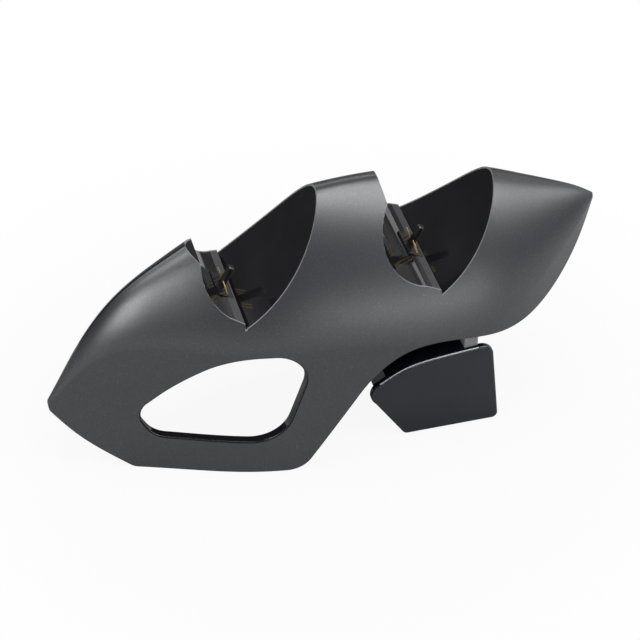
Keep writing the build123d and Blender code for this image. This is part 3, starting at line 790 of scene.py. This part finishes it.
for x in foot_screw_places:
    circle = [(x + foot_well_radius * cos(turn), foot_well_radius * sin(turn)) for turn in well_turns]
    levels = [[(px, py, z) for px, py in circle] for z in (-reach, foot_screw_seat)]
    combine(foot, closed_rings("well", levels, "filled"))
finish_faces(foot)
foot_gloss = dark_plastic("foot_gloss", (0.006, 0.007, 0.012), 0.16)
foot_painted_highlight = dark_plastic("foot_painted_highlight_edge", (0.50, 0.51, 0.53), 0.2)
dress(foot, foot_gloss, foot_painted_highlight)
# Faces of the top edge that look up and forward, between brow and top, are painted pale: a painted highlight.
for face in foot.data.polygons:
    crown = face.normal.z > highlight_least_up and highlight_front[0] < face.normal.y < highlight_front[1]
    face.material_index = int(crown and foot_brow[0] * mm < face.center.x < foot_top[0] * mm)
stand_for(foot, "foot_moulding", "foot")

# Foot pads
# Two soft black rubber pads are glued into the sole. A node tree lays the same cross rib along each
# pad, so that the dock stands on the ribs.
rib_count, rib_radius, rib_sides, rib_inset = 9, 0.5, 16, 0.3
rib_pitch = (pad_length - 2 * pad_corner) / (rib_count - 1)
pad_base = 0.35


def ribbed_pad_tree():
    """Node tree that adds a row of cross ribs under every pad."""
    tree, given = new_tree("ribbed_pads", {
        "Pads": "Geometry", "Count": "Int", "Pitch": "Float", "Start": "Float", "Radius": "Float",
        "Width": "Float", "Offset": "Float", "Material": "Material",
    })
    bar = add(tree, "GeometryNodeMeshCylinder", {
        "Vertices": rib_sides, "Radius": given["Radius"], "Depth": given["Width"],
    })
    joined = add(tree, "GeometryNodeJoinGeometry", {"Geometry": given["Pads"]})
    for side in (-1.0, 1.0):
        y = calc(tree, "MULTIPLY", given["Offset"], side)
        start = add(tree, "ShaderNodeCombineXYZ", {"X": given["Start"], "Y": y, "Z": given["Radius"]})
        pitch = add(tree, "ShaderNodeCombineXYZ", {"X": given["Pitch"]})
        row = add(tree, "GeometryNodeMeshLine", {
            "Count": given["Count"], "Start Location": start.outputs[0], "Offset": pitch.outputs[0],
        })
        ribs = add(tree, "GeometryNodeInstanceOnPoints", {
            "Points": row.outputs[0], "Instance": bar.outputs["Mesh"], "Rotation": (pi / 2, 0, 0),
        })
        tree.links.new(ribs.outputs[0], joined.inputs["Geometry"])
    end_tree(tree, joined.outputs[0], given["Material"])
    return tree


def pad_rubber():
    """Soft black rubber with dust in its pores."""
    material, tree, shader, place = node_material("pad_rubber")
    pores = noise(tree, place, size=0.6, detail=4.0)
    tint = ramp(tree, pores, [(0.35, (0.010, 0.010, 0.010)), (0.75, (0.030, 0.030, 0.029))])
    tree.links.new(tint, shader.inputs["Base Color"])
    tree.links.new(ramp(tree, pores, [(0.3, 0.75), (0.7, 0.95)]), shader.inputs["Roughness"])
    raise_bumps(tree, shader, pores, depth=0.04, strength=0.8)
    return material


pad_vertices, pad_faces = [], []
for side in (-1, 1):
    middle = side * pad_offset
    pad_corners = rectangle(pad_x - pad_length / 2, pad_x + pad_length / 2,
                            middle - pad_width / 2, middle + pad_width / 2)
    flat = rounded(pad_corners, [pad_corner] * 4, steps=8)
    first, count = len(pad_vertices), len(flat)
    pad_vertices += [(x, y, z) for z in (pad_base, pad_wall) for x, y in flat]
    pad_faces += [(first + i, first + (i + 1) % count, first + (i + 1) % count + count, first + i + count)
                  for i in range(count)]
    pad_faces += [list(range(first, first + count)), list(range(first + count, first + 2 * count))]
pads = new_piece("foot_pad_pair", pad_vertices, pad_faces)
grow(pads, ribbed_pad_tree(), {
    "Count": rib_count, "Pitch": rib_pitch * mm, "Start": (pad_x - pad_length / 2 + pad_corner) * mm,
    "Radius": rib_radius * mm, "Width": (pad_width - 2 * rib_inset) * mm, "Offset": pad_offset * mm,
    "Material": pad_rubber(),
})
finish_faces(pads)
stand_for(pads, "foot_pad_pair", "foot_pads")

# Screws
# Zinc-plated screws with cross recesses hold the cover, the boards, the neck and the foot. A node tree
# sets one screw on every seat point and turns each set the way that it is driven.
cover_points = [(-83.0, 63.2), (-10.0, 63.2), (14.0, 57.2), (54.0, 56.8),
                (76.0, 53.6), (90.0, 62.0), (99.5, 75.0)]
cover_wall, cover_bend = 1.8, 20.0
cover_posts = [(-64.0, 7.5), (8.0, 14.0), (74.3, 10.0)]
board_top = 65.2
board_holes = [(x, y) for x in (17.5, 54.5) for y in (-12.5, 15.5)]
neck_middle, neck_screw_offset = 34.5, 9.0
contact_boss_offset, contact_board_back = 11.2, -6.2
recess_share = 0.6      # of a screw head's height and of its radius
slot_share = 0.24       # of a slot's length
shank_sides, head_sides = 20, 32


def screw_tree():
    """Node tree that sets a screw with a cross recess on every point, its head behind the point."""
    tree, given = new_tree("cross_screws", {
        "Seats": "Geometry", "Radius": "Float", "Length": "Float", "Head radius": "Float",
        "Head height": "Float", "Recess": "Float", "Turn": "Float", "Material": "Material",
    })

    def upright(kind, values, z):
        solid = add(tree, kind, values).outputs["Mesh"]
        lift = add(tree, "ShaderNodeCombineXYZ", {"Z": z}).outputs[0]
        return add(tree, "GeometryNodeTransform", {"Geometry": solid, "Translation": lift}).outputs[0]

    half_length = calc(tree, "MULTIPLY", given["Length"], 0.5)
    half_head = calc(tree, "MULTIPLY", given["Head height"], -0.5)
    shank = upright("GeometryNodeMeshCylinder", {
        "Vertices": shank_sides, "Radius": given["Radius"], "Depth": given["Length"],
    }, half_length)
    head = upright("GeometryNodeMeshCylinder", {
        "Vertices": head_sides, "Radius": given["Head radius"], "Depth": given["Head height"],
    }, half_head)
    slot_long = calc(tree, "MULTIPLY", calc(tree, "MULTIPLY", given["Head radius"], given["Recess"]), 2.0)
    slot_wide = calc(tree, "MULTIPLY", slot_long, slot_share)
    slot_deep = calc(tree, "MULTIPLY", calc(tree, "MULTIPLY", given["Head height"], given["Recess"]), 2.0)
    bottom = calc(tree, "MULTIPLY", given["Head height"], -1.0)
    cut = add(tree, "GeometryNodeMeshBoolean", {"Mesh 1": head}, operation="DIFFERENCE", solver="EXACT")
    for x, y in ((slot_long, slot_wide), (slot_wide, slot_long)):
        size = add(tree, "ShaderNodeCombineXYZ", {"X": x, "Y": y, "Z": slot_deep}).outputs[0]
        tree.links.new(upright("GeometryNodeMeshCube", {"Size": size}, bottom), cut.inputs["Mesh 2"])
    whole = add(tree, "GeometryNodeJoinGeometry", {"Geometry": shank})
    tree.links.new(cut.outputs["Mesh"], whole.inputs["Geometry"])
    turn = add(tree, "ShaderNodeCombineXYZ", {"Y": given["Turn"]}).outputs[0]
    screws = add(tree, "GeometryNodeInstanceOnPoints", {
        "Points": given["Seats"], "Instance": whole.outputs[0], "Rotation": turn,
    })
    end_tree(tree, screws.outputs[0], given["Material"])
    return tree


cover_line = np.array(rounded(cover_points, [cover_bend] * len(cover_points), closed=False))


def cover_height(x):
    """Height of the cover's lower face at x."""
    return float(np.interp(x, cover_line[:, 0], cover_line[:, 1]))


contact_seats = []
for pocket in pockets.values():
    x, z = plug_spot(pocket, 0, contact_board_back)
    contact_seats += [(x, side * contact_boss_offset, z) for side in (-1, 1)]
screw_sets = {               # node: radius, length, head radius, head height, turn in degrees, seats
    "cover_screws": (1.2, 9.0, 2.4, 1.6, 0, [(x, side * y, cover_height(x) + cover_wall / 2)
                                             for x, y in cover_posts for side in (-1, 1)]),
    "contact_screws": (0.9, 5.0, 1.7, 1.0, 90 - plug_lean, contact_seats),
    "board_screws": (1.2, 5.0, 2.2, 1.4, 180, [(x, y, board_top) for x, y in board_holes]),
    "neck_screws": (1.5, 14.0, 2.8, 1.8, 180, [(neck_middle, side * neck_screw_offset,
                                                cover_height(neck_middle) + cover_wall) for side in (-1, 1)]),
    "foot_screws": (1.5, 24.0, 2.8, 1.8, 0, [(x, 0, foot_screw_seat) for x in foot_screw_places]),
}
cross_screw_tree = screw_tree()
screw_steel = drawn_steel("zinc_plate", (0.50, 0.50, 0.51), 0.36)
for node, (radius, length, head_radius, head_height, turn, seats) in screw_sets.items():
    screws = new_piece(node + "_set", seats, [])
    grow(screws, cross_screw_tree, {
        "Radius": radius * mm, "Length": length * mm, "Head radius": head_radius * mm,
        "Head height": head_height * mm, "Recess": recess_share, "Turn": radians(turn),
        "Material": screw_steel,
    })
    finish_faces(screws)
    stand_for(screws, node + "_set", node)

# Stage
# A plain table in a studio, soft lamps and the camera of the photograph. The camera sees table and
# room white, polished faces see a dimmer room, and the table keeps the dock's shadow.
table_corners = [(-0.7, -0.8, 0), (0.7, -0.8, 0), (0.7, 0.75, 0), (-0.05, 0.26, 0), (-0.7, 0.1, 0)]
table_grey = (0.36, 0.36, 0.36, 1)
shadow_reach, shadow_end, shadow_white = 0.10, 0.20, 0.92     # the table as the camera sees it
dim_reach, dim_end, mirror_white = 0.12, 0.24, 0.95           # the table as polished faces see it
table = bpy.data.objects.new("table", bpy.data.meshes.new("table"))
table.data.from_pydata(table_corners, [], [range(len(table_corners))])
bpy.context.scene.collection.objects.link(table)
table_paint, tree, shader, place = node_material("table_paint")
shader.inputs["Base Color"].default_value = table_grey
shader.inputs["Roughness"].default_value = 0.9
shader.inputs["Specular IOR Level"].default_value = 0.1
paths = add(tree, "ShaderNodeLightPath").outputs
mirrored = calc(tree, "MAXIMUM", paths["Is Glossy Ray"], paths["Is Transmission Ray"])
distance = add(tree, "ShaderNodeVectorMath", {0: place}, operation="LENGTH").outputs["Value"]
clear = add(tree, "ShaderNodeMapRange", {
    "Value": distance, "From Min": shadow_reach, "From Max": shadow_end, "To Min": shadow_white,
})
bright = add(tree, "ShaderNodeMapRange", {
    "Value": distance, "From Min": dim_reach, "From Max": dim_end, "To Max": mirror_white,
})
seen = calc(tree, "MAXIMUM", calc(tree, "MULTIPLY", paths["Is Camera Ray"], clear.outputs["Result"]),
            calc(tree, "MULTIPLY", mirrored, bright.outputs["Result"]))
glow = add(tree, "ShaderNodeEmission")
blend = add(tree, "ShaderNodeMixShader", {"Fac": seen, 1: shader.outputs[0], 2: glow.outputs[0]})
tree.links.new(blend.outputs[0], tree.nodes["Material Output"].inputs["Surface"])
dress(table, table_paint)

room_light, room_dark, room_white = 0.12, 0.04, 1.0
room_bright_side = (1.0, 0.2, 0.3)
world = bpy.data.worlds.new("studio")
world.use_nodes = True
bpy.context.scene.world = world
tree = world.node_tree
sky = tree.nodes["Background"]
sky.inputs["Color"].default_value = (1, 1, 1, 1)
paths = add(tree, "ShaderNodeLightPath").outputs
way = add(tree, "ShaderNodeTexCoord").outputs["Generated"]
facing = add(tree, "ShaderNodeVectorMath", {0: way, 1: room_bright_side}, operation="DOT_PRODUCT")
share = add(tree, "ShaderNodeMapRange", {"Value": facing.outputs["Value"], "From Min": -1.0})
walls = ramp(tree, share.outputs["Result"],
             [(0.2, room_dark), (0.33, room_light), (0.9, room_light), (1.0, room_white)])
mirrored = calc(tree, "MAXIMUM", paths["Is Glossy Ray"], paths["Is Transmission Ray"])
in_mirrors = add(tree, "ShaderNodeMix", {0: mirrored, 2: room_light, 3: walls}).outputs[0]
strength = add(tree, "ShaderNodeMix", {0: paths["Is Camera Ray"], 2: in_mirrors, 3: room_white})
tree.links.new(strength.outputs[0], sky.inputs["Strength"])
lamp_aim = Vector((0, 0, 0.07))


def lamp(name, place, size, watts):
    """Soft area lamp aimed at the dock."""
    light = bpy.data.lights.new(name, "AREA")
    light.shape = "RECTANGLE"
    light.size, light.size_y = size
    light.energy = watts
    holder = bpy.data.objects.new(name, light)
    holder.location = place
    holder.rotation_euler = (lamp_aim - Vector(place)).to_track_quat("-Z", "Y").to_euler()
    bpy.context.scene.collection.objects.link(holder)


lamp("overhead", (0.26, -0.34, 1.12), (0.75, 1.45), 22)
lamp("left_strip", (-0.83, -0.62, 0.40), (0.3, 0.45), 4.8)
lamp("left_top", (-0.76, -0.14, 0.86), (0.35, 0.35), 2.8)
lamp("left_back", (-0.62, 0.45, 0.78), (0.5, 0.5), 2.4)
lamp("back_fill", (0.25, 1.0, 0.75), (0.9, 0.5), 2.4)
lamp("right_box", (0.82, -0.46, 0.64), (0.5, 0.5), 3.3)
lamp("front_card", (0.36, -1.05, 0.08), (0.7, 0.12), 1.8)

camera_place = Vector((-169.2, -622.6, 580.5)) * mm
camera_aim = Vector((0, 0, 48.6)) * mm
focal_pixels, frame_pixels, sensor = 2174.0, 640.0, 36.0
camera = bpy.data.objects.new("camera", bpy.data.cameras.new("camera"))
camera.data.sensor_width = sensor
camera.data.lens = focal_pixels / frame_pixels * sensor
camera.location = camera_place
camera.rotation_euler = (camera_aim - camera_place).to_track_quat("-Z", "Y").to_euler()
bpy.context.scene.collection.objects.link(camera)
bpy.context.scene.camera = camera
bpy.context.scene.view_settings.view_transform = "Standard"
